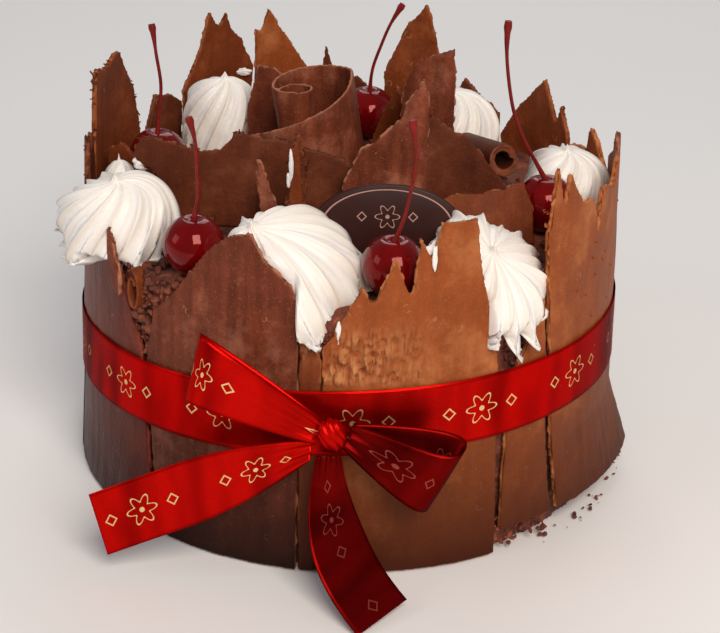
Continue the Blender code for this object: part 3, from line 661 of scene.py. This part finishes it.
cherry_skin, tree, shader = new_material("cocktail cherry in syrup")
place = add_node(tree, "ShaderNodeTexCoord").outputs["Object"]
mottle = add_node(tree, "ShaderNodeTexNoise", {"Scale": 130.0, "Detail": 3.0}, Vector=place)
tint = add_node(tree, "ShaderNodeMix", {"data_type": "RGBA", 6: linear("#400104"), 7: linear("#800507")},
                _0=mottle.outputs["Fac"])
tree.links.new(tint.outputs[2], shader.inputs["Base Color"])
dent = add_node(tree, "ShaderNodeBump", {"Strength": 0.10, "Distance": 0.0012}, Height=mottle.outputs["Fac"])
tree.links.new(dent.outputs["Normal"], shader.inputs["Normal"])
shader.inputs["Roughness"].default_value = 0.09
shader.inputs["Specular IOR Level"].default_value = 0.38
shader.inputs["Specular Tint"].default_value = linear("#ff6e62")
shader.inputs["Coat Weight"].default_value = 0.25
shader.inputs["Coat Roughness"].default_value = 0.04

cherry_stem, tree, shader = new_material("cherry stem")
place = add_node(tree, "ShaderNodeTexCoord").outputs["Object"]
mottle = add_node(tree, "ShaderNodeTexNoise", {"Scale": 250.0, "Detail": 2.0}, Vector=place)
tint = add_node(tree, "ShaderNodeMix", {"data_type": "RGBA", 6: linear("#4a0906"), 7: linear("#96201a")},
                _0=mottle.outputs["Fac"])
tree.links.new(tint.outputs[2], shader.inputs["Base Color"])
shader.inputs["Roughness"].default_value = 0.4
shader.inputs["Specular IOR Level"].default_value = 0.2

CHERRY_RADIUS = 11.2
DIMPLE = 2.2
STEM_RADIUS = 0.65
CHERRIES = {
    "left": dict(at=(-130.0, 88.5), tip=(-1, 0, 38), bend=(2.5, 0)),
    "front": dict(at=(-81.0, 85), tip=(5, 0, 44), bend=(3.5, 0)),
    "right": dict(at=(-17.3, 76.5), tip=(-18, 0, 61), bend=(-6, 0)),
    "rear": dict(at=(83.8, 79.6), tip=(13, 0, 38), bend=(-3, 0)),
    "rear_left": dict(at=(164.0, 80.0), tip=(-2, 8, 42), bend=(2, 0)),
}
for number, (side, sizes) in enumerate(CHERRIES.items()):
    azimuth, distance = sizes["at"]
    centre = Vector((distance * math.cos(math.radians(azimuth)), distance * math.sin(math.radians(azimuth)),
                     TOP + CHERRY_RADIUS))
    bpy.ops.object.select_all(action="DESELECT")
    bpy.ops.mesh.primitive_uv_sphere_add(segments=64, ring_count=40, radius=CHERRY_RADIUS * MM)
    cherry = bpy.context.object
    cherry.name = f"cherry_{side}_fruit"
    places = points_of(cherry)[0]
    round_off = np.hypot(places[:, 0], places[:, 1])
    places *= 1 + 0.03 * grain(places, 9.0, number)[:, None]
    places[:, 2] -= DIMPLE * np.exp(-(round_off / 2.7) ** 2) * (places[:, 2] > 0)
    places[:, :2] *= 1 - 0.07 * np.clip(-places[:, 2:3] / CHERRY_RADIUS, 0, 1)
    move_points(cherry, places + np.array(centre))
    finish_piece(cherry, f"cherry_{side}", cherry_skin)

    foot = centre + Vector((0, 0, CHERRY_RADIUS - DIMPLE - 0.3))
    end = centre + Vector((0, 0, CHERRY_RADIUS - DIMPLE + 0.6)) + Vector(sizes["tip"])
    curve = bpy.data.curves.new(f"cherry_{side}_stalk", "CURVE")
    curve.dimensions = "3D"
    curve.bevel_depth = STEM_RADIUS * MM
    curve.bevel_resolution = 4
    curve.use_fill_caps = True
    spline = curve.splines.new("POLY")
    spline.points.add(27)
    for index, point in enumerate(spline.points):
        share = index / 27
        spot = foot.lerp(end, share) + Vector((*sizes["bend"], 0)) * math.sin(math.pi * share)
        spot += Vector((1, 0.6, 0)) * 0.4 * math.sin(9 * share + number) * math.sin(math.pi * share)
        point.co = (*(spot * MM), 1.0)
        point.radius = np.interp(share, (0, 0.06, 0.16, 0.8, 0.93, 0.97, 1), (1.8, 1.4, 1.05, 1.0, 1.8, 2.5, 2.0))
    stem = bpy.data.objects.new(f"cherry_{side}_stalk", curve)
    bpy.context.scene.collection.objects.link(stem)
    pick(stem)
    bpy.ops.object.convert(target="MESH")
    finish_piece(bpy.context.object, f"stem_{side}", cherry_stem)


# Ribbon. Red satin 25 mm wide with an ornament of gold foil pressed into its face: an open
# six-petalled flower with a small diamond on either side of it. The long floats of the weave
# give it a lustre that goes from bright to nearly black as it turns.

RIBBON_WIDTH = 25.0
REPEAT = 46.0


def satin_ribbon(name, low, high, painted_shade_colour, print_tint, metal):
    """A satin for the ribbon, bright or as its darker painted-shade copy: dyed weave with its print and long patches
    of painted shade, read from UV in millimetres.
    """
    material, tree, shader = new_material(name)
    along = add_node(tree, "ShaderNodeUVMap", {"uv_map": "ribbon"})
    axes = add_node(tree, "ShaderNodeSeparateXYZ", {}, Vector=along.outputs["UV"])
    turns = add_node(tree, "ShaderNodeMath", {"operation": "DIVIDE", 1: REPEAT}, _0=axes.outputs["X"])
    within = add_node(tree, "ShaderNodeMath", {"operation": "FRACT"}, _0=turns.outputs["Value"])
    centred = add_node(tree, "ShaderNodeMath", {"operation": "SUBTRACT", 1: 0.5}, _0=within.outputs["Value"])
    x = add_node(tree, "ShaderNodeMath", {"operation": "MULTIPLY", 1: REPEAT}, _0=centred.outputs["Value"])
    y = add_node(tree, "ShaderNodeMath", {"operation": "SUBTRACT", 1: RIBBON_WIDTH / 2}, _0=axes.outputs["Y"])
    printed = flower_print(tree, x.outputs["Value"], y.outputs["Value"], 5.6)
    face = add_node(tree, "ShaderNodeAttribute", {"attribute_name": "face"})
    foil = add_node(tree, "ShaderNodeMath", {"operation": "MULTIPLY"}, _0=printed, _1=face.outputs["Fac"])
    fine = add_node(tree, "ShaderNodeMapping", {"Scale": (0.5, 3.5, 1.0)}, Vector=along.outputs["UV"])
    weave = add_node(tree, "ShaderNodeTexNoise", {"Scale": 1.0, "Detail": 2.0}, Vector=fine.outputs["Vector"])
    dyed = add_node(tree, "ShaderNodeMix", {"data_type": "RGBA", 6: linear(low), 7: linear(high)},
                    _0=weave.outputs["Fac"])
    # Painted shade: long soft patches along the ribbon are mixed towards the darker colour, standing in for the
    # lustre turning dark
    long_waves = add_node(tree, "ShaderNodeMapping", {"Scale": (0.075, 0.02, 1.0)}, Vector=along.outputs["UV"])
    wave = add_node(tree, "ShaderNodeTexNoise", {"Scale": 1.0, "Detail": 1.0}, Vector=long_waves.outputs["Vector"])
    painted_fold_shade = add_node(tree, "ShaderNodeMapRange", {1: 0.42, 2: 0.66, 3: 0.0, 4: 0.7}, Value=wave.outputs["Fac"])
    turned = add_node(tree, "ShaderNodeMix", {"data_type": "RGBA", 7: linear(painted_shade_colour)},
                      _0=painted_fold_shade.outputs["Result"], _6=dyed.outputs[2])
    gilt = add_node(tree, "ShaderNodeMix", {"data_type": "RGBA", 7: linear(print_tint)},
                    _0=foil.outputs["Value"], _6=turned.outputs[2])
    tree.links.new(gilt.outputs[2], shader.inputs["Base Color"])
    dent = add_node(tree, "ShaderNodeBump", {"Strength": 0.15, "Distance": 0.0003}, Height=weave.outputs["Fac"])
    tree.links.new(dent.outputs["Normal"], shader.inputs["Normal"])
    shader.inputs["Metallic"].default_value = metal
    shader.inputs["Roughness"].default_value = 0.33
    shader.inputs["Specular IOR Level"].default_value = 0.1
    shader.inputs["Specular Tint"].default_value = linear("#380504")
    return material


# The ribbon's satin, and a darker copy of it as painted shade for the right loop and the front tail, which face away
# from the light
satin = satin_ribbon("red satin ribbon with gold foil", "#b00705", "#dc140e", "#7c0604", "#f2cf8f", 0.8)
satin_painted_shade = satin_ribbon("red satin ribbon, painted shade", "#500404", "#860b09", "#380203", "#94453a", 0.7)
PAINTED_SHADE_PIECES = ("bow_loop_right", "bow_tail_front")


def weave_strip(piece_name, columns, length, spot_at):
    """A strip of ribbon from a grid. spot_at(share, across) gives its place, across from 0 to 1."""
    bpy.ops.object.select_all(action="DESELECT")
    bpy.ops.mesh.primitive_grid_add(x_subdivisions=columns, y_subdivisions=14, size=2.0)
    strip = bpy.context.object
    strip.name = piece_name
    layer = strip.data.uv_layers[0]
    layer.name = "ribbon"
    for loop in layer.data:
        loop.uv = (loop.uv[0] * length, loop.uv[1] * RIBBON_WIDTH)
    for vert in strip.data.vertices:
        vert.co = Vector(spot_at((vert.co.x + 1) / 2, (vert.co.y + 1) / 2)) * MM
    strip.data.update()
    return strip


def finish_strip(strip, node, thickness=0.2):
    """Gives a strip its thickness and marks its outer, printed face."""
    apply_modifier(strip, "cloth", "SOLIDIFY", thickness=thickness * MM, offset=0.0)
    places, normals = points_of(strip)
    paint(strip, "face", ((normals * (places - (0, 0, 40))).sum(1) > 0) * 1.0)
    # The pieces listed there get the darker satin, as painted shade
    finish_piece(strip, node, satin_painted_shade if node in PAINTED_SHADE_PIECES else satin)


def wrap(share, across):
    """Round the cake, dipping a little towards the bow."""
    angle = math.tau * share
    height = 43.2 + 4.4 * math.cos(angle) - 5.1 * math.sin(angle) + RIBBON_WIDTH * across
    ease = 0.75 + 0.12 * math.sin(5 * angle) + 0.1 * math.sin(11 * angle + 3 * across)
    reach = 105.8 - 0.035 * (height - 36.0) + ease
    return reach * math.cos(angle), reach * math.sin(angle), height


band = weave_strip("ribbon_round_cake", 360, 14 * REPEAT, wrap)
pick(band)
bpy.ops.object.mode_set(mode="EDIT")
bpy.ops.mesh.select_all(action="SELECT")
bpy.ops.mesh.remove_doubles(threshold=0.00001)
bpy.ops.object.mode_set(mode="OBJECT")
finish_strip(band, "ribbon_band")


# Bow. The same ribbon, tied in front: two loops folded flat, two tails cut square, and a
# small tight knot that gathers them all into pleats.

KNOT = Vector((-7.0, -112.2, 60.0))


def pleat(from_knot, across, reach, depth):
    """Gathers that stand in the ribbon beside the knot and fade out along it."""
    return depth * math.exp(-from_knot / reach) * math.cos(5.5 * math.pi * across + 0.6)


LOOPS = {
    "bow_loop_left": dict(start=(-5, 0, 1), reach=(-43, 3, 23), across=(0.22, 0.10, 0.97),
                          depth=4.3, rise=-1.2),
    "bow_loop_right": dict(start=(5, -1, 0.5), reach=(35, -6, -13), across=(0.47, 0.08, 0.88),
                           depth=4.2, rise=2.6),
}
for node, sizes in LOOPS.items():
    start = KNOT + Vector(sizes["start"])
    reach = Vector(sizes["reach"])
    wide = Vector(sizes["across"])
    out = reach.cross(wide).normalized()
    if out.y > 0:
        out = -out

    def loop_spot(share, across):
        open_up = 1 - abs(2 * share - 1) ** 2.4
        lift = sizes["depth"] * math.sin(math.tau * share) + math.cos(math.pi * share)
        middle = start + reach * open_up - out * lift + wide * sizes["rise"] * math.sin(math.tau * share)
        pinch = 0.36 + 0.64 * open_up ** 0.8
        gather = pleat(open_up, across, 0.28, 1.0)
        belly = 0.9 * math.sin(math.pi * across) * open_up
        return middle + wide * pinch * RIBBON_WIDTH / 2 * (2 * across - 1) - out * (gather * 0.8 - belly)

    strip = weave_strip(f"{node}_satin", 120, 2.1 * reach.length, loop_spot)
    finish_strip(strip, node)

TAILS = {
    "bow_tail_left": dict(route=[(-14.2, -112.8, 54), (-50, -114, 40), (-89.5, -109, 20.5)],
                          edges=[(0.05, 0, 0.36), (-0.24, 0.05, 0.97)]),
    "bow_tail_front": dict(route=[(-8.2, -112.6, 51.5), (-11, -116, 18), (11.2, -138.5, 2.6)],
                           edges=[(0.36, 0, 0.02), (0.70, 0.70, 0.13)]),
}
for node, sizes in TAILS.items():
    first, control, last = [Vector(spot) for spot in sizes["route"]]
    gathered, full = [Vector(edge) for edge in sizes["edges"]]

    def tail_spot(share, across):
        middle = first.lerp(control, share).lerp(control.lerp(last, share), share)
        half = gathered.lerp(full, math.sin(math.pi / 2 * min(1.0, 1.6 * share))) * RIBBON_WIDTH / 2
        normal = (control.lerp(last, share) - first.lerp(control, share)).cross(half).normalized()
        return middle + half * (2 * across - 1) + normal * pleat(share, across, 0.16, 0.9)

    strip = weave_strip(f"{node}_satin", 90, 1.05 * (last - first).length, tail_spot)
    finish_strip(strip, node)

# The knot's wrap runs over the front from its upper left to its lower right, in five pleats
bpy.ops.object.select_all(action="DESELECT")
bpy.ops.mesh.primitive_uv_sphere_add(segments=96, ring_count=72, radius=1.0)
knot = bpy.context.object
knot.name = "ribbon_knot_satin"
knot.data.uv_layers[0].name = "ribbon"
for loop in knot.data.uv_layers[0].data:
    loop.uv = (loop.uv[0] * 6.0, loop.uv[1] * 6.0)
ball = points_of(knot)[0] * MM
pleats = np.abs(np.sin(5.2 * ball[:, 2] + 0.35 * np.sin(3 * ball[:, 0]))) ** 0.7
girth = (0.84 + 0.15 * pleats * (1 - ball[:, 2] ** 6)) * (1 + 0.10 * ball[:, 2] ** 2)
slant = math.radians(28)
wide = 5.3 * ball[:, 2]
tall, deep = 6.7 * ball[:, 0] * girth, 4.3 * ball[:, 1] * girth
shape = np.column_stack((wide * math.cos(slant) - tall * math.sin(slant), deep,
                         wide * math.sin(slant) + tall * math.cos(slant)))
move_points(knot, shape + np.array(KNOT))
paint(knot, "face", np.zeros(len(knot.data.vertices)))
finish_piece(knot, "ribbon_knot", satin)


# Crumbs. Bits torn off the sponge, caught in the gaps between the panels, on the bare sponge
# under the cream at the right, on the top between the shards, and round the foot.

def strew(piece_name, seed_piece, spots, sizes, seed):
    """Joins turned and scaled copies of one small mesh into a piece. Sizes are (x, y, z) each."""
    rand = np.random.default_rng(seed)
    corners = points_of(seed_piece)[0]
    faces = [tuple(face.vertices) for face in seed_piece.data.polygons]
    bpy.data.objects.remove(seed_piece)
    verts, joined = [], []
    for spot, size in zip(spots, sizes):
        turn = np.array(Matrix.Rotation(rand.uniform(0, math.tau), 3, rand.normal(size=3)))
        lumps = corners * (1 + 0.6 * grain(corners, 0.5, rand.uniform(0, 50)))[:, None] * size
        lumps = lumps @ turn.T + spot
        lumps[:, 2] = np.maximum(lumps[:, 2], 0.05)
        joined += [tuple(index + len(verts) for index in face) for face in faces]
        verts += (lumps * MM).tolist()
    mesh = bpy.data.meshes.new(piece_name)
    mesh.from_pydata(verts, [], joined)
    piece = bpy.data.objects.new(piece_name, mesh)
    bpy.context.scene.collection.objects.link(piece)
    return piece


def finish_scatter(piece, material, smooth=True):
    """Dresses a scattered piece and lets it ride on the cake."""
    piece.data.materials.append(material)
    pick(piece)
    if smooth:
        bpy.ops.object.shade_smooth()
    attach(piece, "root")


def polar(azimuth, distance, height):
    """Places from azimuths in degrees, distances and heights."""
    turn = np.radians(azimuth)
    return np.column_stack((distance * np.cos(turn), distance * np.sin(turn), height))


# Count, azimuths, distances, heights and sizes
CRUMB_BEDS = (
    (60, (-139.0, -133.5), (99.6, 103.4), (60, 99), (2.0, 5.5)),
    (70, (-139.5, -133.0), (101.0, 104.2), (62, 99), (0.7, 2.2)),
    (110, (-143.0, -122.0), (87, 102), (100.2, 101.6), (1.0, 3.8)),
    (60, (-136.5, -124.0), (98.5, 103), (88, 100), (1.2, 4.2)),
    (80, (-58.5, -52.5), (100.6, 103.4), (66, 84), (0.9, 3.0)),
    (80, (-60.0, -45.5), (102.5, 107.5), (1.0, 13), (0.9, 3.2)),
    (34, (-52.0, -8.0), (107.5, 114.0), (0.5, 0.9), (0.5, 2.2)),
    (60, (-100.5, -90.0), (100.5, 102.6), (84, 97), (0.8, 2.6)),
    (170, (0, 360), (8, 76), (100.4, 101.2), (0.7, 3.0)),
)
rand = np.random.default_rng(5)
spots, sizes = [], []
for count, azimuths, distances, heights, widths in CRUMB_BEDS:
    spots.append(polar(rand.uniform(*azimuths, count), rand.uniform(*distances, count),
                       rand.uniform(*heights, count)))
    sizes.append(rand.uniform(*widths, count)[:, None] * rand.uniform(0.45, 1.1, (count, 3)))
bpy.ops.mesh.primitive_uv_sphere_add(segments=8, ring_count=6, radius=0.5 * MM)
crumbs = strew("sponge_crumbs", bpy.context.object, np.vstack(spots), np.vstack(sizes), 11)
finish_scatter(crumbs, sponge_crumb, smooth=False)


# Shavings. Thin curved flakes of chocolate that fell as the sheets were broken, lying on the
# top and clinging to the panels, and one small roll pushed into the gap at the left.

def flake_seed():
    """One flake of unit length, bent along its length."""
    bpy.ops.object.select_all(action="DESELECT")
    bpy.ops.mesh.primitive_grid_add(x_subdivisions=5, y_subdivisions=2, size=1.0 * MM)
    flake = bpy.context.object
    for vert in flake.data.vertices:
        vert.co.z = 0.35 * MM * (vert.co.x / MM) ** 2
    apply_modifier(flake, "sheet", "SOLIDIFY", thickness=0.16 * MM, offset=0.0)
    return flake


top_spots = polar(rand.uniform(0, 360, 130), rand.uniform(12, 84, 130), rand.uniform(100.6, 102.0, 130))
top_sizes = np.column_stack((rand.uniform(3, 9, 130), rand.uniform(1.2, 3.2, 130), rand.uniform(2, 4, 130)))
flakes = strew("shavings_on_top", flake_seed(), top_spots, top_sizes, 12)
finish_scatter(flakes, COUVERTURE["shade"])

side_spots = np.vstack((polar(rand.uniform(-124, -102, 46), 105.3, rand.uniform(12, 112, 46)),
                        polar(rand.uniform(-94, -64, 40), 105.4, rand.uniform(10, 104, 40)),
                        polar(rand.uniform(-44, -12, 34), 105.6, rand.uniform(50, 116, 34))))
side_spots[:, :2] *= (1 - 0.00034 * np.maximum(side_spots[:, 2:3] - 36, 0))
side_sizes = np.column_stack((rand.uniform(0.8, 2.4, 120), rand.uniform(0.5, 1.0, 120), rand.uniform(0.8, 1.6, 120)))
specks = strew("shavings_on_panels", flake_seed(), side_spots, side_sizes, 13)
finish_scatter(specks, COUVERTURE["milk"])

rims = []
for name in ("shard_long", "shard_splinter_right", "panel_left_rear", "panel_rear_left_tall"):
    plate = bpy.data.objects[f"{name}_chocolate"]
    raw_edge = np.empty(len(plate.data.vertices))
    plate.data.attributes["fresh"].data.foreach_get("value", raw_edge)
    places = points_of(plate)[0]
    rims.append(places[(raw_edge > 0.6) & (places[:, 2] > 112)])
rims = np.vstack(rims)
splinter_spots = rims[rand.choice(len(rims), 130)]
splinter_sizes = np.column_stack((rand.uniform(0.8, 3.4, 130), rand.uniform(0.4, 1.3, 130),
                                  rand.uniform(0.8, 2.0, 130)))
splinters = strew("splinters_on_edges", flake_seed(), splinter_spots, splinter_sizes, 14)
finish_scatter(splinters, COUVERTURE["shade"])

ROLL_AT = (-138.6, 101.0, 94.0)
bpy.ops.object.select_all(action="DESELECT")
bpy.ops.mesh.primitive_grid_add(x_subdivisions=72, y_subdivisions=10, size=2.0)
roll = bpy.context.object
roll.name = "shaving_roll_in_gap"
azimuth = math.radians(ROLL_AT[0])
outward = Vector((math.cos(azimuth), math.sin(azimuth), 0))
beside = Vector((-outward.y, outward.x, 0))
for vert in roll.data.vertices:
    wound, deep = (vert.co.x + 1) / 2, (vert.co.y + 1) / 2
    angle = math.tau * 1.25 * wound + 0.6
    radius = 2.0 + 2.0 * wound
    spot = outward * (ROLL_AT[1] + 4.5 * deep) + Vector((0, 0, ROLL_AT[2]))
    vert.co = (spot + beside * radius * 0.95 * math.cos(angle) + Vector((0, 0, 2.1 * radius * math.sin(angle)))) * MM
apply_modifier(roll, "sheet", "SOLIDIFY", thickness=0.9 * MM, offset=0.0)
finish_scatter(roll, COUVERTURE["amber"])


# Cream dabs. Cream squeezed out between the spikes of the front sheet, with a drip below it,
# and smears left on the shards by the piping bag.

DABS = (
    ((27.5, -94.5, 119.0), (4.6, 3.0, 6.5)), ((24.2, -96.0, 112.0), (2.6, 1.8, 4.5)),
    ((26.6, -99.9, 121.5), (0.9, 0.7, 4.2)), ((-5.4, -102.6, 94.0), (1.3, 1.2, 4.2)),
    ((-22.9, -44.6, 133.0), (0.8, 0.7, 5.5)), ((-23.8, -44.5, 127.5), (0.7, 0.6, 3.0)),
    ((-45.3, 88.2, 125.5), (3.0, 0.9, 1.6)), ((-80.5, -9.5, 120.0), (3.2, 2.4, 2.6)),
)
bpy.ops.object.select_all(action="DESELECT")
for number, (spot, size) in enumerate(DABS):
    bpy.ops.mesh.primitive_uv_sphere_add(segments=36, ring_count=24, radius=1.0)
    dab = bpy.context.object
    ball = points_of(dab)[0] * MM
    dab.name = f"cream_dab_{number}"
    move_points(dab, ball * size * (1 + 0.4 * grain(ball, 0.6, number))[:, None] + spot)
for number in range(len(DABS)):
    bpy.data.objects[f"cream_dab_{number}"].select_set(True)
bpy.ops.object.join()
dabs = bpy.context.object
dabs.name = "cream_dabs"
paint(dabs, "valley_shade", np.zeros(len(dabs.data.vertices)))
finish_scatter(dabs, cream_soft)




bpy.ops.object.select_all(action="DESELECT")
sizes = {"cad": cad_box, "visual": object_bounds()}
